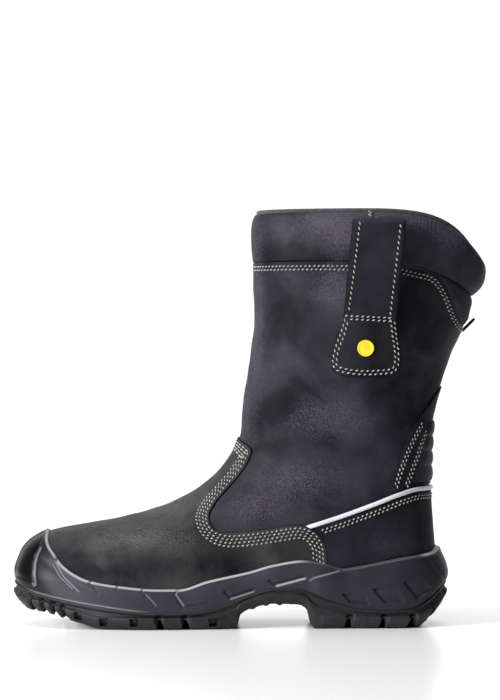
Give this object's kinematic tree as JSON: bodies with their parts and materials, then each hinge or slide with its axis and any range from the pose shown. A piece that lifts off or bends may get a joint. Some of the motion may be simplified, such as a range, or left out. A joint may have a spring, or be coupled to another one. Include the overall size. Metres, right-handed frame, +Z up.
{
  "type": "safety boot",
  "caption": "Pull-on safety boot for the left foot: black leather shaft, padded collar, pull loops at the sides, moulded toe cap and side wall, lugged rubber outsole.",
  "frame": {"origin": "on the floor, under the middle of the boot's box", "axes": "+Z up, -X towards the toe, -Y towards the outer side of the foot"},
  "size_m": [0.3298, 0.1286, 0.2889],
  "materials": {
    "outsole_rubber": "matte",
    "midsole_polyurethane": "satin",
    "lining_felt": "matte",
    "black_leather": "satin",
    "collar_leather": "satin",
    "reflective_piping": "satin",
    "badge_enamel": "gloss",
    "stitch_thread": "matte"
  },
  "bodies": {
    "root": {"outsole": "outsole_rubber", "midsole": "midsole_polyurethane", "insole": "lining_felt", "upper": "black_leather", "collar": "collar_leather", "back_bellows": "collar_leather", "achilles_pad": "black_leather", "reflective_piping": "reflective_piping", "pull_loop_outer": "black_leather", "pull_loop_inner": "black_leather", "badge": "badge_enamel", "back_tab": "black_leather"}
  },
  "joints": []
}
